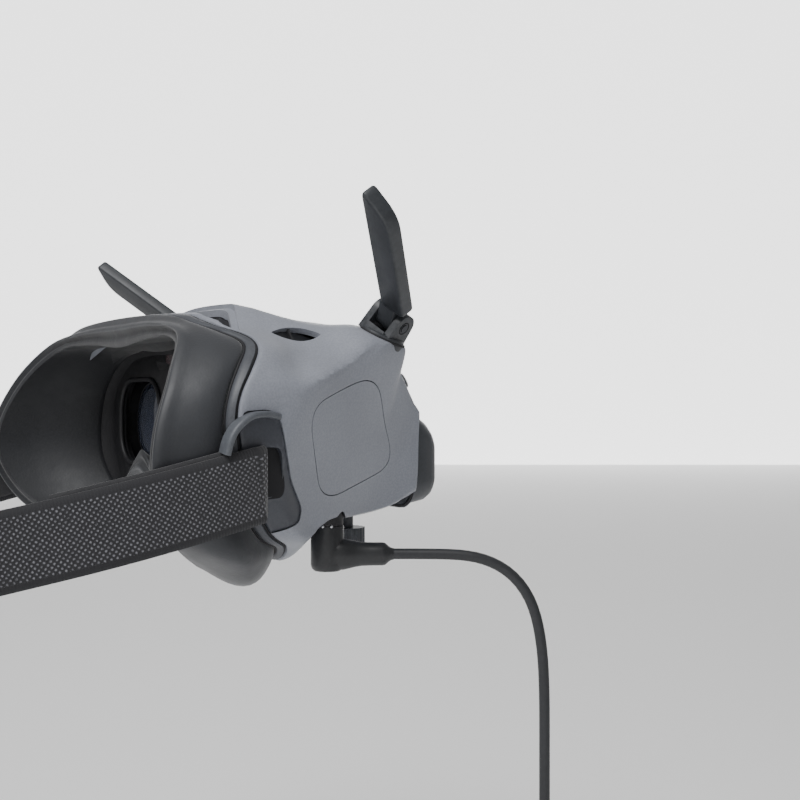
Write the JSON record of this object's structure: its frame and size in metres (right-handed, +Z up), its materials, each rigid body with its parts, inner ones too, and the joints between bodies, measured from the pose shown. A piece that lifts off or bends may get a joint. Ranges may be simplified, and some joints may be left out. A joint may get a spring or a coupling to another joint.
{
  "type": "fpv goggles",
  "caption": "Face-worn video goggles with folding antennas, a padded eye mouth, an elastic head strap and a right-angle power lead.",
  "frame": {"origin": "centre of the face pad's mouth at eye height, on the plane of the pad's rearmost edge", "axes": "+Z up, -Y the way the wearer looks, +Y towards the head and out along the strap, +X the wearer's left"},
  "size_m": [0.2043, 0.273, 0.2668],
  "materials": {
    "shell": "fine matt grey plastic with a soft sheen",
    "cover": "matt dark grey plastic",
    "black_plastic": "matt black moulded plastic",
    "pad": "soft dark grey leatherette over foam",
    "webbing": "black elastic webbing with an open woven face",
    "hook_tape": "black hook-and-loop tape",
    "mesh": "fine black vent mesh",
    "touch": "matt grey touch surface",
    "metal": "bare metal",
    "copper": "copper foil",
    "gold": "gold plated contacts",
    "lens": "coated lens glass",
    "display": "dark display glass",
    "board": "green circuit board",
    "sensor": "dark infrared window",
    "cord": "soft black cord jacket",
    "plug": "moulded black plug"
  },
  "bodies": {
    "housing": {"front_shell": "shell", "front_cap": "cover", "rear_frame": "cover", "face_pad": "pad", "eye_baffle": "black_plastic", "top_vent": "cover", "vent_mesh_R": "mesh", "vent_mesh_L": "mesh", "touch_panel": "touch", "strap_anchor_R": "cover", "strap_anchor_L": "cover", "strap": "webbing", "strap_fold_R": "hook_tape", "strap_fold_L": "hook_tape", "antenna_turret_R": "cover", "antenna_turret_L": "cover", "hinge_pin_R": "metal", "hinge_pin_L": "metal", "inner_frame": "black_plastic", "ipd_rails": "metal", "proximity_sensor": "sensor", "main_board": "board", "heat_sink": "metal", "fan_housing": "black_plastic", "power_jack": "black_plastic", "headphone_jack": "black_plastic", "usb_port": "metal", "card_slot": "metal", "housing_screws": "metal", "plug_body": "plug", "plug_barrel": "metal", "cord_lead": "cord", "cord_coil": "cord", "cord_tie": "hook_tape", "far_plug": "plug", "far_contacts": "gold"},
    "antenna_R": {"antenna_blade_R": "cover", "antenna_element_R": "copper"},
    "eye_carriage_R": {"carriage_R": "black_plastic", "display_R": "display"},
    "lens_R": {"lens_tube_R": "black_plastic", "eyepiece_R": "lens"},
    "dial_stem_R": {"dial_stem_R": "cover"},
    "dial_R": {"dial_R": "cover"},
    "antenna_L": {"antenna_blade_L": "cover", "antenna_element_L": "copper"},
    "eye_carriage_L": {"carriage_L": "black_plastic", "display_L": "display"},
    "lens_L": {"lens_tube_L": "black_plastic", "eyepiece_L": "lens"},
    "dial_stem_L": {"dial_stem_L": "cover"},
    "dial_L": {"dial_L": "cover"},
    "fan": {"fan_rotor": "black_plastic"},
    "button": {"link_button": "cover"}
  },
  "joints": [
    {"name": "antenna_fold_R", "type": "hinge", "parent": "housing", "child": "antenna_R", "pos_m": [-0.0675, -0.074, 0.0295], "axis": [0.7637, 0.3269, 0.5567], "range_deg": [0, 135]},
    {"name": "eye_spacing_R", "type": "slide", "parent": "housing", "child": "eye_carriage_R", "axis": [-1, 0, 0], "range_m": [-0.004, 0.004]},
    {"name": "focus_slide_R", "type": "slide", "parent": "eye_carriage_R", "child": "lens_R", "axis": [0, 1, 0], "range_m": [-0.0032, 0.0008]},
    {"name": "dial_pop_R", "type": "slide", "parent": "eye_carriage_R", "child": "dial_stem_R", "axis": [0, 0, 1], "range_m": [0, 0.0025]},
    {"name": "dial_turn_R", "type": "hinge", "parent": "dial_stem_R", "child": "dial_R", "pos_m": [-0.032, -0.08, -0.034], "axis": [0, 0, 1], "range_deg": [-160, 40]},
    {"name": "antenna_fold_L", "type": "hinge", "parent": "housing", "child": "antenna_L", "pos_m": [0.0675, -0.074, 0.0295], "axis": [0.7637, -0.3269, -0.5567], "range_deg": [0, 135]},
    {"name": "eye_spacing_L", "type": "slide", "parent": "housing", "child": "eye_carriage_L", "axis": [1, 0, 0], "range_m": [-0.004, 0.004]},
    {"name": "focus_slide_L", "type": "slide", "parent": "eye_carriage_L", "child": "lens_L", "axis": [0, 1, 0], "range_m": [-0.0032, 0.0008]},
    {"name": "dial_pop_L", "type": "slide", "parent": "eye_carriage_L", "child": "dial_stem_L", "axis": [0, 0, 1], "range_m": [0, 0.0025]},
    {"name": "dial_turn_L", "type": "hinge", "parent": "dial_stem_L", "child": "dial_L", "pos_m": [0.032, -0.08, -0.034], "axis": [0, 0, 1], "range_deg": [-160, 40]},
    {"name": "fan_spin", "type": "hinge", "parent": "housing", "child": "fan", "pos_m": [0, -0.09, -0.01], "axis": [0, -1, 0], "continuous": true},
    {"name": "button_press", "type": "slide", "parent": "housing", "child": "button", "axis": [0.5514, 0.7018, -0.4511], "range_m": [0, 0.001], "stiffness_N_per_m": 400}
  ],
  "couplings": [
    {"joint": "dial_turn_R", "follows": "focus_slide_R", "rad_per_m": 872.6},
    {"joint": "dial_turn_L", "follows": "focus_slide_L", "rad_per_m": 872.6}
  ]
}
